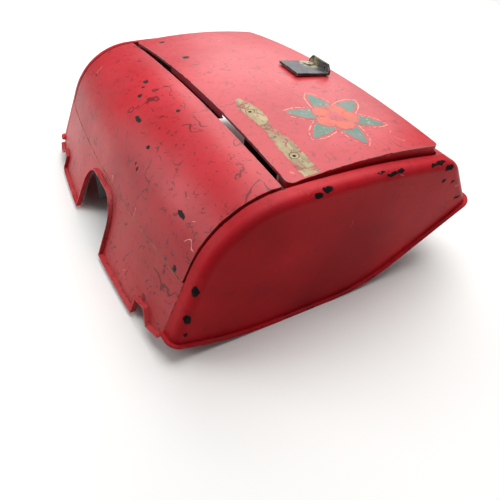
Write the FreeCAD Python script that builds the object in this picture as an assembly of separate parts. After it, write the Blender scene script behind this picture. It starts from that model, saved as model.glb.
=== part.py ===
import FreeCAD, Part
import os
from math import asin, cos, degrees, radians, sin, sqrt, tan

# Glove box that bolts to the leg shield of a motor scooter: a pressed steel shell, open at the
# back, with a crowned door in its face. Millimetres. The box lies on the rim of its open back:
# X is its width, -Y the wall that straddles the frame's spine, +Y the wall beside the latch and
# +Z the face. Every place is first written from the corner of the door opening (door_edge, y = 0,
# z = 0 at the door's sides) and the finished shapes are lifted to stand on z = 0.
V = FreeCAD.Vector

# --- driving dimensions -------------------------------------------------------------------------
sheet = 1.0                  # steel of the shell and the door
bracket_sheet = 1.2          # steel of rails, strips, hinges and stiffener

door_half_width = 170.0
door_start_y = 2.0
door_end_y = 160.5
door_arch_rise = 5.0
door_crown_rise = 10.5
door_corner_radius = 6.0
door_skirt_depth = 12.0
hinge_lip_depth = 7.0
hinge_notch_lip = 2.5

door_side_gap = 2.5
door_end_gap = 2.0
door_hinge_gap = 5.6
border_half_width = door_half_width + door_side_gap
aperture_end_y = door_end_y + door_end_gap
aperture_corner_radius = 8.0
aperture_flange_depth = 12.0

border_width = 14.5          # strip of the cheek's bend beside the door
cheek_half_width = border_half_width + border_width
cheek_draft = 0.6            # degrees
cheek_bend_radius = 8.0

groove_width = 3.0
panel_half_width = border_half_width - groove_width
panel_edge_y = door_start_y - door_hinge_gap

face_arch_radius = 870.0     # gentle arch of the face from wall to wall
face_apex_y = 45.0
face_apex_z = 0.6
lower_shoulder_radius = 82.0
lower_shoulder_start_y = panel_edge_y - 3.9
lower_wall_angle = 67.0      # below the horizontal
upper_shoulder_radius = 28.0
upper_shoulder_start_y = aperture_end_y - 0.5
upper_wall_angle = 54.0
body_crown_rise = 9.5
body_crown_tilt = 40.0       # the crown leans from the face towards the lower wall

rest_depth = 130.5           # from the door's corners down to the rim's lowest stretch
rest_start_y = 0.0
rest_end_y = 56.0
lower_rim_radius = 290.0
lower_rim_span = 30.0        # degrees
upper_rim_radius = 140.0
upper_rim_slope = 30.0
lip_width = 3.6
lip_sheet = 1.4

crease_drop = 65.0
crease_gap = 0.3
joint_flange_depth = 6.0
joint_strip_half_width = 8.0
crease_strip_half_height = 5.5

wall_rim_drop = rest_depth - 4.5
spine_half_width = 42.0
spine_top_drop = crease_drop + 7.0
spine_corner_radius = 27.0
spine_leg_least = 5.0        # straight leg kept below the arch's corners
spine_flare = 5.0            # degrees each leg leans outwards
notch_width = 14.0
notch_inner_x = cheek_half_width - 58.0
notch_outer_x = notch_inner_x + notch_width
notch_top_drop = wall_rim_drop - 16.0
notch_top_slope = 2.0        # how much lower the notch's top is on its inner side
corner_rim_x = notch_outer_x + 11.5
corner_rim_drop = wall_rim_drop - 7.0
corner_end_drop = wall_rim_drop - 14.0

ledge_reach = 10.0           # how far the rails reach in below the door's folded edges
rail_outer_x = border_half_width + 6.5
latch_rail_half_length = door_half_width - 12.0
latch_rail_end_y = aperture_end_y + 9.5

shroud_half_width = spine_half_width + 2.0
shroud_top_drop = spine_top_drop + 1.5
shroud_start_y = -96.0
shroud_end_y = -28.0
shroud_foot_drop = wall_rim_drop - 4.0
shroud_flange = 10.0
shroud_flange_gap = 0.5      # between the weld flange and the crease strip

tab_width = 24.0
tab_height = 22.0
tab_reach = 28.0
tab_sheet = 1.5
tab_foot_drop = rest_depth - 19.5
tab_hole_radius = 3.25
tab_hole_x = cheek_half_width - 16.0
lower_tab_y = -70.0
upper_tab_y = aperture_end_y - 57.5

pin_radius = 1.25
pin_clearance = 0.05
pin_head_radius = pin_radius + 0.75
pin_head_length = 1.0
hinge_y = 15.0
hinge_z = -1.5
hinge_start_x = door_half_width - 108.0
knuckle_length = 18.2
knuckle_count = 5
knuckle_gap = 0.4
knuckle_radius = pin_radius + 1.35
knuckle_room = 0.6           # left round the other leaf's knuckles
hinge_arm_drop = 25.0
hinge_arm_back_height = 16.0
panel_edge_flange = hinge_arm_drop - 1.0
hinge_leaf_end_y = hinge_y + 16.0
hinge_rivet_y = hinge_y + 8.5
hinge_rivet_inset = 9.6      # from each end of the hinge leaf
arm_rivet_inset = 9.0        # from each end of the hinge arm
arm_rivet_drop = 15.0
arm_rivet_head_radius = 3.2
arm_rivet_head_height = 1.2
arm_rivet_tail_height = 0.6
rivet_shank_radius = 2.0
rivet_head_radius = 4.2
rivet_tail_radius = 3.0
rivet_dish_radius = 3.4
rivet_dish_depth = 0.5
rivet_eye_radius = 1.3
ledge_start_y = hinge_leaf_end_y + 5.0
ledge_end_y = aperture_end_y - 14.5

latch_x = 0.0
latch_y = door_end_y - 25.5
spindle_radius = 3.0
spindle_clearance = 0.05
spindle_square_half = 2.2
spindle_thread_radius = 2.0
spindle_thread_length = 5.5
spindle_head_radius = spindle_radius + 2.5
spindle_head_height = 1.2
spindle_eye_radius = 1.0
washer_radius = spindle_radius + 5.0
washer_thickness = 0.7
latch_gap = 0.1
latch_plate_thickness = 2.4
latch_plate_half_width = 19.5
latch_plate_offset = 9.0     # the spindle stands off the plate's middle
latch_plate_back = 30.0      # from the spindle to the plate's edge away from the finger lip
latch_plate_front = 9.5
latch_plate_turn = -4.5      # how the plate stands when unlocked
finger_lip_height = 10.0
finger_lip_chamfer = 5.0
finger_hole_radius = 1.6
finger_hole_inset = 8.0
finger_hole_height = 3.2
cam_drop = aperture_flange_depth + 2 * bracket_sheet + 16.6
cam_thickness = 2.0
cam_length = 30.0
cam_width = 13.0
nut_across_flats = 8.0
nut_height = 4.0
stiffener_half_length = door_half_width - 22.0
stiffener_half_width = 18.0
stiffener_start_y = latch_y - stiffener_half_width
stiffener_end_y = latch_y + stiffener_half_width
stiffener_depth = 8.0
strike_half_width = 19.0
strike_start_y = aperture_end_y - 10.5
strike_end_y = strike_start_y + 14.0

bump_radius = 4.8
bump_gap = 0.4
bump_x = door_half_width - 58.0
bump_side_y = latch_y - stiffener_half_width
bump_inset = 5.2             # from the aperture's edge

FAR = 400.0
KEEL = rest_depth + 24.5     # depth that every solid is first carried down to


# --- small helpers ------------------------------------------------------------------------------
def box(x0, x1, y0, y1, z0, z1):
    return Part.makeBox(x1 - x0, y1 - y0, z1 - z0, V(x0, y0, z0))


def slab_x(x0, x1):
    return box(x0, x1, -FAR, FAR, -FAR, FAR)


def slab_y(y0, y1):
    return box(-FAR, FAR, y0, y1, -FAR, FAR)


def slab_z(z0, z1):
    return box(-FAR, FAR, -FAR, FAR, z0, z1)


def mirrored(shape):
    return shape.mirror(V(0, 0, 0), V(1, 0, 0))


def both_sides(shape):
    return Part.Compound([shape, mirrored(shape)])


def joined(shapes):
    whole = shapes[0]
    for shape in shapes[1:]:
        whole = whole.fuse(shape)
    return whole.removeSplitter()


def arc(first, middle, last):
    return Part.Arc(first, middle, last).toShape()


def line(first, last):
    return Part.LineSegment(first, last).toShape()


def face_of(edges):
    return Part.Face(Part.Wire(edges))


# --- the shell's envelope: one profile carried round a crown ------------------------------------
def on_circle(centre, radius, angle):
    """Point of a circle in the YZ plane, the angle counted from +Z towards +Y."""
    return V(0, centre.y + radius * sin(radians(angle)), centre.z + radius * cos(radians(angle)))


def body_profile(inset):
    """Side view of the shell along its cheeks, moved inwards by inset, closed at the keel."""
    face_centre = V(0, face_apex_y, face_apex_z - face_arch_radius)
    start = -degrees(asin((face_apex_y - lower_shoulder_start_y) / face_arch_radius))
    end = degrees(asin((upper_shoulder_start_y - face_apex_y) / face_arch_radius))
    lower_centre = on_circle(face_centre, face_arch_radius - lower_shoulder_radius, start)
    upper_centre = on_circle(face_centre, face_arch_radius - upper_shoulder_radius, end)
    face_r = face_arch_radius - inset
    lower_r = lower_shoulder_radius - inset
    upper_r = upper_shoulder_radius - inset
    a = on_circle(lower_centre, lower_r, -lower_wall_angle)
    b = on_circle(lower_centre, lower_r, start)
    c = on_circle(upper_centre, upper_r, end)
    d = on_circle(upper_centre, upper_r, upper_wall_angle)
    keel = -KEEL - inset
    a_foot = V(0, a.y - (a.z - keel) / tan(radians(lower_wall_angle)), keel)
    d_foot = V(0, d.y + (d.z - keel) / tan(radians(upper_wall_angle)), keel)
    return face_of([
        line(a_foot, a),
        arc(a, on_circle(lower_centre, lower_r, (start - lower_wall_angle) / 2), b),
        arc(b, on_circle(face_centre, face_r, (start + end) / 2), c),
        arc(c, on_circle(upper_centre, upper_r, (end + upper_wall_angle) / 2), d),
        line(d, d_foot),
        line(d_foot, a_foot),
    ])


def crowned(profile, rise, tilt):
    """Carry a YZ profile round a far axis so that mid-width stands proud by rise."""
    radius = (door_half_width ** 2 + rise ** 2) / (2 * rise)
    lift = V(0, -sin(radians(tilt)), cos(radians(tilt)))
    axis = V(0, cos(radians(tilt)), sin(radians(tilt)))
    centre = lift * (rise - radius)
    sweep = degrees(asin((cheek_half_width + 30) / (radius - KEEL)))
    face = profile.copy()
    face.translate(lift * rise)
    face.rotate(centre, axis, -sweep)
    return face.revolve(centre, axis, 2 * sweep)


def cheek_x(z, inset):
    return cheek_half_width - inset - z * tan(radians(cheek_draft))


def cheek_prism(inset):
    """Space between the two cheeks, which lean out a little towards the rim."""
    top, foot = 60.0, -KEEL - 10 - inset
    corners = [V(-cheek_x(top, inset), -FAR, top), V(-cheek_x(foot, inset), -FAR, foot),
               V(cheek_x(foot, inset), -FAR, foot), V(cheek_x(top, inset), -FAR, top)]
    return Part.Face(Part.makePolygon(corners + corners[:1])).extrude(V(0, 2 * FAR, 0))


def body_envelope(inset):
    """Solid inside the shell's skin moved inwards by inset; a negative inset is outside it."""
    solid = crowned(body_profile(inset), body_crown_rise, body_crown_tilt).common(cheek_prism(inset))
    if inset > cheek_bend_radius - 1:
        return solid
    bends = []
    for edge in solid.Edges:
        middle = edge.valueAt((edge.FirstParameter + edge.LastParameter) / 2)
        on_cheek = abs(abs(middle.x) - cheek_x(middle.z, inset)) < 0.01
        if on_cheek and middle.z > -KEEL - inset + 1:
            bends.append(edge)
    return solid.makeFillet(cheek_bend_radius - inset, bends)


def skin(outer_inset, inner_inset):
    """Layer of the shell between two insets."""
    return body_envelope(outer_inset).cut(body_envelope(inner_inset))


def face_layer(outer_inset, inner_inset):
    """Layer below the crowned face that runs on past the cheeks instead of bending down."""
    outer = crowned(body_profile(outer_inset), body_crown_rise, body_crown_tilt)
    return outer.cut(crowned(body_profile(inner_inset), body_crown_rise, body_crown_tilt))


# --- outlines that trim the shell ---------------------------------------------------------------
def rim_keeper(grow):
    """Everything above the cheeks' convex rim, whose lowest stretch is straight; side view."""
    z = -rest_depth + grow
    lower_centre = V(0, rest_start_y, z + lower_rim_radius)
    upper_centre = V(0, rest_end_y, z + upper_rim_radius)
    lower_end = on_circle(lower_centre, lower_rim_radius, 180 + lower_rim_span)
    upper_end = on_circle(upper_centre, upper_rim_radius, 180 - upper_rim_slope)
    far_z = upper_end.z + (FAR - upper_end.y) * tan(radians(upper_rim_slope))
    outline = face_of([
        line(V(0, -FAR, FAR), V(0, -FAR, lower_end.z)),
        line(V(0, -FAR, lower_end.z), lower_end),
        arc(lower_end, on_circle(lower_centre, lower_rim_radius, 180 + lower_rim_span / 2),
            V(0, rest_start_y, z)),
        line(V(0, rest_start_y, z), V(0, rest_end_y, z)),
        arc(V(0, rest_end_y, z),
            on_circle(upper_centre, upper_rim_radius, 180 - upper_rim_slope / 2), upper_end),
        line(upper_end, V(0, FAR, far_z)),
        line(V(0, FAR, far_z), V(0, FAR, FAR)),
        line(V(0, FAR, FAR), V(0, -FAR, FAR)),
    ])
    outline.translate(V(-FAR, 0, 0))
    return outline.extrude(V(2 * FAR, 0, 0))


def spine_radius():
    """Corner radius of the spine arch, limited by the height of its wall."""
    return min(spine_corner_radius, shroud_foot_drop - shroud_top_drop - spine_leg_least)


def spine_arch(grow, foot):
    """Arch over the frame's spine, seen along Y, down to a foot level; a face in XZ."""
    top = -spine_top_drop + grow
    radius = spine_radius() + grow
    lean = tan(radians(spine_flare))
    side = spine_half_width + grow
    centre = V(side - radius, 0, top - radius)
    shoulder = V(centre.x + radius * cos(radians(spine_flare)), 0,
                 centre.z + radius * sin(radians(spine_flare)))
    middle = V(centre.x + radius * sin(radians(45)), 0, centre.z + radius * cos(radians(45)))
    end = V(shoulder.x + (shoulder.z - foot) * lean, 0, foot)
    left = [V(-p.x, 0, p.z) for p in (end, shoulder, middle, V(centre.x, 0, top))]
    return face_of([
        line(end, shoulder),
        arc(shoulder, middle, V(centre.x, 0, top)),
        line(V(centre.x, 0, top), left[3]),
        arc(left[3], left[2], left[1]),
        line(left[1], left[0]),
        line(left[0], end),
    ])


def through_y(face, y0, y1):
    placed = face.copy()
    placed.translate(V(0, y0, 0))
    return placed.extrude(V(0, y1 - y0, 0))


def wall_keeper(grow):
    """Everything above the lower wall's rim, with its spine arch and corner notches; rear view."""
    half = [
        V(0, 0, -wall_rim_drop + grow),
        V(notch_inner_x - grow, 0, -wall_rim_drop + grow),
        V(notch_inner_x - grow, 0, -notch_top_drop - notch_top_slope + grow),
        V(notch_outer_x + grow, 0, -notch_top_drop + grow),
        V(corner_rim_x + grow, 0, -corner_rim_drop + grow),
        V(cheek_half_width, 0, -corner_end_drop + grow),
        V(FAR, 0, -corner_end_drop + grow),
        V(FAR, 0, FAR),
        V(0, 0, FAR),
    ]
    side = through_y(Part.Face(Part.makePolygon(half + half[:1])), -FAR, 0)
    arch = through_y(spine_arch(grow, -KEEL - 20), -FAR, 0)
    return joined([side, mirrored(side)]).cut(arch)


def rounded_rectangle(x, y0, y1, hinge_radius, latch_radius):
    """Rectangle in XY centred on x = 0, with its own corner radius at each end."""
    k = 1 - sqrt(0.5)
    h, r = hinge_radius, latch_radius
    right = [V(x - h, y0, 0), V(x - h * k, y0 + h * k, 0), V(x, y0 + h, 0),
             V(x, y1 - r, 0), V(x - r * k, y1 - r * k, 0), V(x - r, y1, 0)]
    left = [V(-p.x, p.y, 0) for p in right]
    return face_of([
        arc(right[0], right[1], right[2]),
        line(right[2], right[3]),
        arc(right[3], right[4], right[5]),
        line(right[5], left[5]),
        arc(left[5], left[4], left[3]),
        line(left[3], left[2]),
        arc(left[2], left[1], left[0]),
        line(left[0], right[0]),
    ])


def through_z(face):
    placed = face.copy()
    placed.translate(V(0, 0, -FAR))
    return placed.extrude(V(0, 0, 2 * FAR))


def aperture(grow):
    """Door opening in the face, from behind the hinge gap to the border beside the latch."""
    return through_z(rounded_rectangle(border_half_width + grow, -40.0, aperture_end_y + grow,
                                       0.5, aperture_corner_radius + grow))


# --- shell pieces -------------------------------------------------------------------------------
def rim_lip(keeper):
    """Outward lip along a trimmed edge; keeper(grow) trims the shell at that edge."""
    return skin(-lip_width, sheet).common(keeper(0).cut(keeper(lip_sheet)))


def right_cheek():
    """Side panel with its bend, the border strip beside the door and the outward rim lip."""
    beyond = slab_x(border_half_width, FAR)
    panel = skin(0, sheet).common(beyond).common(rim_keeper(0))
    lip = rim_lip(rim_keeper).common(beyond)
    edge = slab_x(border_half_width, border_half_width + sheet)
    door_flange = skin(0, aperture_flange_depth).common(edge)
    door_flange = door_flange.common(slab_y(panel_edge_y, aperture_end_y - aperture_corner_radius))
    groove_flange = skin(0, joint_flange_depth).common(edge)
    groove_flange = groove_flange.common(slab_y(-FAR, panel_edge_y)).common(slab_z(-crease_drop, FAR))
    return joined([panel, lip, door_flange, groove_flange])


def left_cheek():
    return mirrored(right_cheek())


def lower_wall():
    """Wall over the frame's spine, below the crease: arch, corner notches and outward lip."""
    between = slab_x(-border_half_width, border_half_width)
    zone = between.common(slab_y(-FAR, 0)).common(slab_z(-FAR, -crease_drop - crease_gap))
    panel = skin(0, sheet).common(zone).common(wall_keeper(0))
    lip = rim_lip(wall_keeper).common(zone)
    return joined([panel, lip])


def upper_wall():
    """Wall beside the latch with the border round the door's free edge and its turned-down flange."""
    between = slab_x(-border_half_width, border_half_width)
    beside_latch = slab_y(aperture_end_y - aperture_corner_radius, FAR)
    zone = between.common(beside_latch)
    panel = skin(0, sheet).common(zone).common(rim_keeper(0)).cut(aperture(0))
    lip = rim_lip(rim_keeper).common(zone)
    flange = skin(0, aperture_flange_depth).common(aperture(sheet).cut(aperture(0))).common(zone)
    return joined([panel, lip, flange])


def curved_panel():
    """Panel let in between the cheeks, from the hinge gap down to the crease."""
    zone = slab_x(-panel_half_width, panel_half_width).common(slab_y(-FAR, panel_edge_y))
    zone = zone.common(slab_z(-crease_drop, FAR))
    panel = skin(0, sheet).common(zone)
    side = skin(0, joint_flange_depth).common(zone)
    side = side.common(slab_x(panel_half_width - sheet, panel_half_width))
    hinge_side = body_envelope(0).common(zone).common(slab_y(panel_edge_y - sheet, panel_edge_y))
    hinge_side = hinge_side.common(slab_z(-panel_edge_flange, FAR))
    whole = joined([panel, side, mirrored(side), hinge_side])
    for x in arm_rivet_places():
        hole = arm_rivet_bar(rivet_shank_radius, x, panel_edge_y - 2 * sheet, panel_edge_y + sheet)
        whole = whole.cut(hole).cut(mirrored(hole))
    return whole


def right_joint_strip():
    """Strip that closes the groove from behind and ties the curved panel to the cheek."""
    middle = (panel_half_width + border_half_width) / 2
    strip = skin(joint_flange_depth, joint_flange_depth + bracket_sheet)
    strip = strip.common(slab_x(middle - joint_strip_half_width, middle + joint_strip_half_width))
    strip = strip.common(slab_y(-FAR, panel_edge_y - sheet))
    return strip.common(slab_z(-crease_drop + crease_strip_half_height, FAR))


def left_joint_strip():
    return mirrored(right_joint_strip())


def crease_strip():
    """Strip behind the crease that the curved panel and the lower wall are welded to."""
    half = panel_half_width - sheet
    strip = skin(sheet, sheet + bracket_sheet).common(slab_x(-half, half)).common(slab_y(-FAR, 0))
    middle = -crease_drop - crease_gap / 2
    return strip.common(slab_z(middle - crease_strip_half_height, middle + crease_strip_half_height))


def right_aperture_rail():
    """Ledge below the border at the door's side, with a leg up to the border's underside."""
    depth = aperture_flange_depth
    stretch = slab_y(ledge_start_y, ledge_end_y)
    ledge = face_layer(depth, depth + bracket_sheet).common(stretch)
    ledge = ledge.common(slab_x(border_half_width - ledge_reach, rail_outer_x))
    leg = face_layer(sheet, depth + bracket_sheet).common(stretch)
    leg = leg.common(slab_x(rail_outer_x - bracket_sheet, rail_outer_x))
    return joined([ledge, leg])


def left_aperture_rail():
    return mirrored(right_aperture_rail())


def latch_rail():
    """Ledge below the border at the latch, which the turned cam hooks under."""
    depth = aperture_flange_depth
    stretch = slab_x(-latch_rail_half_length, latch_rail_half_length)
    ledge = face_layer(depth, depth + bracket_sheet).common(stretch)
    ledge = ledge.common(slab_y(aperture_end_y - ledge_reach, latch_rail_end_y))
    leg = face_layer(sheet, depth + bracket_sheet).common(stretch)
    leg = leg.common(slab_y(latch_rail_end_y - bracket_sheet, latch_rail_end_y))
    return joined([ledge, leg])


def strike_plate():
    """Wear plate below the latch rail's ledge where the cam bears."""
    depth = aperture_flange_depth + bracket_sheet
    plate = face_layer(depth, depth + bracket_sheet)
    plate = plate.common(slab_x(latch_x - strike_half_width, latch_x + strike_half_width))
    return plate.common(slab_y(strike_start_y, strike_end_y))


def spine_shroud():
    """Humped cover over the frame's spine inside the box, with a closed end and a weld flange."""
    outer = through_y(shroud_section(0), shroud_start_y, shroud_end_y)
    inner = through_y(shroud_section(sheet), shroud_start_y - 1, shroud_end_y - sheet)
    hood = outer.cut(inner).common(body_envelope(sheet))
    flange = skin(sheet, sheet + bracket_sheet)
    flange = flange.common(through_y(shroud_section(-shroud_flange), -FAR, shroud_end_y - 20))
    flange = flange.cut(through_y(shroud_section(sheet), -FAR, 0))
    flange = flange.common(slab_z(-FAR, -crease_drop - crease_strip_half_height - shroud_flange_gap))
    return joined([hood, flange])


def shroud_section(inset):
    """Arch of the hump, seen along Y, moved inwards by inset."""
    top = -shroud_top_drop - inset
    side = shroud_half_width - inset
    radius = spine_radius() - inset
    foot = -shroud_foot_drop - max(inset, 0)
    k = radius * sqrt(0.5)
    centre = V(side - radius, 0, top - radius)
    left = V(-centre.x, 0, centre.z)
    return face_of([
        line(V(side, 0, foot), V(side, 0, centre.z)),
        arc(V(side, 0, centre.z), centre + V(k, 0, k), V(centre.x, 0, top)),
        line(V(centre.x, 0, top), V(left.x, 0, top)),
        arc(V(left.x, 0, top), left + V(-k, 0, k), V(-side, 0, left.z)),
        line(V(-side, 0, left.z), V(-side, 0, foot)),
        line(V(-side, 0, foot), V(side, 0, foot)),
    ])


def mounting_tab(y):
    """Angle tab welded inside the right cheek, with one hole for a leg shield bolt."""
    width = slab_y(y - tab_width / 2, y + tab_width / 2)
    leaf = skin(sheet, sheet + tab_sheet).common(width).common(slab_x(0, FAR))
    leaf = leaf.common(slab_z(-tab_foot_drop - tab_sheet, -tab_foot_drop - tab_sheet + tab_height))
    foot = body_envelope(sheet).common(width).common(slab_x(cheek_half_width - tab_reach, FAR))
    foot = foot.common(slab_z(-tab_foot_drop - tab_sheet, -tab_foot_drop))
    hole = Part.makeCylinder(tab_hole_radius, 3 * tab_sheet, V(tab_hole_x, y, -tab_foot_drop - 2 * tab_sheet))
    return joined([leaf, foot]).cut(hole)


def lower_mounting_tabs():
    return both_sides(mounting_tab(lower_tab_y))


def upper_mounting_tabs():
    return both_sides(mounting_tab(upper_tab_y))


# --- door ---------------------------------------------------------------------------------------
def door_arch_radius():
    half = (door_end_y - door_start_y) / 2
    return (half ** 2 + door_arch_rise ** 2) / (2 * door_arch_rise)


def door_envelope(inset):
    """Solid below the door's outer surface moved down by inset."""
    middle = (door_start_y + door_end_y) / 2
    centre = V(0, middle, door_arch_rise - door_arch_radius())
    radius = door_arch_radius() - inset
    reach = 13.0             # degrees each way, past both ends of the door
    a = on_circle(centre, radius, -reach)
    b = on_circle(centre, radius, reach)
    profile = face_of([
        arc(a, on_circle(centre, radius, 0), b),
        line(b, V(0, b.y, -KEEL)),
        line(V(0, b.y, -KEEL), V(0, a.y, -KEEL)),
        line(V(0, a.y, -KEEL), a),
    ])
    return crowned(profile, door_crown_rise, 0.0)


def door_height(x, y):
    """Height of the door's outer surface."""
    middle = (door_start_y + door_end_y) / 2
    arch = door_arch_rise - door_arch_radius() + sqrt(door_arch_radius() ** 2 - (y - middle) ** 2)
    crown_radius = (door_half_width ** 2 + door_crown_rise ** 2) / (2 * door_crown_rise)
    axis_z = door_crown_rise - crown_radius
    return axis_z + sqrt((crown_radius + arch) ** 2 - x ** 2)


def door_normal(x, y):
    step = 0.5
    slope_x = (door_height(x + step, y) - door_height(x - step, y)) / (2 * step)
    slope_y = (door_height(x, y + step) - door_height(x, y - step)) / (2 * step)
    return V(-slope_x, -slope_y, 1).normalize()


def door_layer(outer_inset, inner_inset):
    return door_envelope(outer_inset).cut(door_envelope(inner_inset))


def door_outline(inset):
    return through_z(rounded_rectangle(door_half_width - inset, door_start_y + inset,
                                       door_end_y - inset, door_corner_radius - inset,
                                       door_corner_radius - inset))


def hinge_notch():
    """Clears the door's folded edge over the right hinge, down to a shallow lip."""
    clear = 3.0
    end = hinge_start_x + knuckle_count * knuckle_length + clear
    room = slab_x(hinge_start_x - clear, end).common(slab_y(-FAR, door_start_y + 2 * sheet))
    return room.common(door_envelope(hinge_notch_lip))


def on_door(x, y, shape):
    """Move a shape made at the origin on +Z to a point of the door's surface, along its normal."""
    seat = FreeCAD.Placement(V(x, y, door_height(x, y)),
                             FreeCAD.Rotation(V(0, 0, 1), door_normal(x, y)))
    placed = shape.copy()
    placed.Placement = seat * shape.Placement
    return placed


def hinge_rivet_places():
    end = hinge_start_x + knuckle_count * knuckle_length
    inner = hinge_start_x + hinge_rivet_inset
    outer = end - hinge_rivet_inset
    return [(x, hinge_rivet_y) for x in (-outer, -inner, inner, outer)]


def door_skin():
    """Crowned door: outer sheet, folded edges, notches over the hinges and sunk rivet seats."""
    panel = door_layer(0, sheet).common(door_outline(0))
    ring = door_outline(0).cut(door_outline(sheet))
    folded = door_layer(0, door_skirt_depth).common(ring)
    hinge_edge = box(-FAR, FAR, -FAR, door_start_y + door_corner_radius, -FAR, FAR)
    folded = folded.cut(hinge_edge.common(door_envelope(hinge_lip_depth)))
    door = joined([panel, folded]).cut(hinge_notch()).cut(mirrored(hinge_notch()))
    for x, y in hinge_rivet_places():
        seat = Part.makeCylinder(rivet_head_radius, 4 * sheet, V(0, 0, -2 * sheet))
        door = door.cut(on_door(x, y, seat))
    hole = Part.makeCylinder(spindle_radius + spindle_clearance, 6 * sheet, V(0, 0, -3 * sheet))
    return door.cut(on_door(latch_x, latch_y, hole))


def door_stiffener():
    """Channel welded across the door's underside, which carries the latch spindle."""
    stretch = slab_x(-stiffener_half_length, stiffener_half_length)
    web = door_layer(sheet, sheet + bracket_sheet).common(stretch)
    web = web.common(slab_y(stiffener_start_y, stiffener_end_y))
    legs = door_layer(sheet, sheet + stiffener_depth).common(stretch)
    near = legs.common(slab_y(stiffener_start_y, stiffener_start_y + bracket_sheet))
    far = legs.common(slab_y(stiffener_end_y - bracket_sheet, stiffener_end_y))
    hole = Part.makeCylinder(spindle_radius + spindle_clearance, 8 * sheet, V(0, 0, -6 * sheet))
    return joined([web, near, far]).cut(on_door(latch_x, latch_y, hole))


# --- hinges -------------------------------------------------------------------------------------
def knuckle_span(index):
    start = hinge_start_x + index * knuckle_length
    return start + knuckle_gap / 2, start + knuckle_length - knuckle_gap / 2


def rod(radius, x0, x1):
    """Round bar on the right hinge's axis."""
    return Part.makeCylinder(radius, x1 - x0, V(x0, hinge_y, hinge_z), V(1, 0, 0))


def door_knuckles():
    return [index for index in range(knuckle_count) if index % 2 == 0]


def arm_knuckles():
    return [index for index in range(knuckle_count) if index % 2 == 1]


def clear_of(knuckles):
    """Room round the other leaf's knuckles."""
    room = knuckle_radius + knuckle_room
    return [rod(room, knuckle_span(i)[0] - knuckle_gap, knuckle_span(i)[1] + knuckle_gap) for i in knuckles]


def right_hinge_leaf():
    """Leaf riveted below the door, stepped down to its knuckles."""
    stretch = slab_x(knuckle_span(0)[0], knuckle_span(knuckle_count - 1)[1])
    web_y = hinge_y + knuckle_radius - bracket_sheet
    flange = door_layer(sheet, sheet + bracket_sheet).common(stretch)
    flange = flange.common(slab_y(web_y, hinge_leaf_end_y))
    web = door_envelope(sheet).common(stretch).common(slab_y(web_y, web_y + bracket_sheet))
    web = web.common(slab_z(hinge_z, FAR))
    for room in clear_of(arm_knuckles()):
        web = web.cut(room)
    barrels = [rod(knuckle_radius, *knuckle_span(i)) for i in door_knuckles()]
    leaf = joined([flange, web] + barrels)
    leaf = leaf.cut(rod(pin_radius + pin_clearance, 0, FAR))
    for x, y in hinge_rivet_places():
        hole = Part.makeCylinder(rivet_shank_radius, 8 * sheet, V(0, 0, -6 * sheet))
        leaf = leaf.cut(on_door(x, y, hole))
    return leaf


def left_hinge_leaf():
    return mirrored(right_hinge_leaf())


def right_hinge_arm():
    """Bent arm from the curved panel's edge flange, under the door's path, up to its knuckles."""
    first, last = arm_knuckles()[0], arm_knuckles()[-1]
    stretch = slab_x(knuckle_span(first)[0], knuckle_span(last)[1])
    back_y = panel_edge_y - sheet - bracket_sheet
    upright_y = hinge_y - bracket_sheet / 2
    riser = box(-FAR, FAR, upright_y, upright_y + bracket_sheet, -hinge_arm_drop, hinge_z)
    run = box(-FAR, FAR, back_y, upright_y + bracket_sheet,
              -hinge_arm_drop - bracket_sheet, -hinge_arm_drop)
    back = box(-FAR, FAR, back_y, back_y + bracket_sheet,
               -hinge_arm_drop, -hinge_arm_drop + hinge_arm_back_height)
    plate = joined([riser, run, back]).common(stretch)
    for room in clear_of(door_knuckles()):
        plate = plate.cut(room)
    barrels = [rod(knuckle_radius, *knuckle_span(i)) for i in arm_knuckles()]
    arm = joined([plate] + barrels).cut(rod(pin_radius, 0, FAR))
    for x in arm_rivet_places():
        arm = arm.cut(arm_rivet_bar(rivet_shank_radius, x, back_y - sheet, panel_edge_y))
    return arm


def left_hinge_arm():
    return mirrored(right_hinge_arm())


def arm_rivet_places():
    first, last = arm_knuckles()[0], arm_knuckles()[-1]
    return knuckle_span(first)[0] + arm_rivet_inset, knuckle_span(last)[1] - arm_rivet_inset


def arm_rivet_bar(radius, x, y0, y1):
    return Part.makeCylinder(radius, y1 - y0, V(x, y0, -arm_rivet_drop), V(0, 1, 0))


def right_hinge_pin():
    """Hinge pin with a peened head at each end."""
    start, end = knuckle_span(0)[0] - 0.3, knuckle_span(knuckle_count - 1)[1] + 0.3
    return joined([
        rod(pin_radius, start - pin_head_length, end + pin_head_length),
        rod(pin_head_radius, start - pin_head_length, start),
        rod(pin_head_radius, end, end + pin_head_length),
    ])


def left_hinge_pin():
    return mirrored(right_hinge_pin())


def hinge_arm_rivets():
    """Rivets through the curved panel's edge flange and both hinge arms."""
    rivets = []
    back_y = panel_edge_y - sheet - bracket_sheet
    for x in arm_rivet_places():
        shank = arm_rivet_bar(rivet_shank_radius, x, back_y, panel_edge_y)
        head = arm_rivet_bar(arm_rivet_head_radius, x, back_y - arm_rivet_head_height, back_y)
        tail = arm_rivet_bar(rivet_tail_radius, x, panel_edge_y, panel_edge_y + arm_rivet_tail_height)
        rivets.append(joined([head, shank, tail]))
    return Part.Compound(rivets + [mirrored(rivet) for rivet in rivets])


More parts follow.
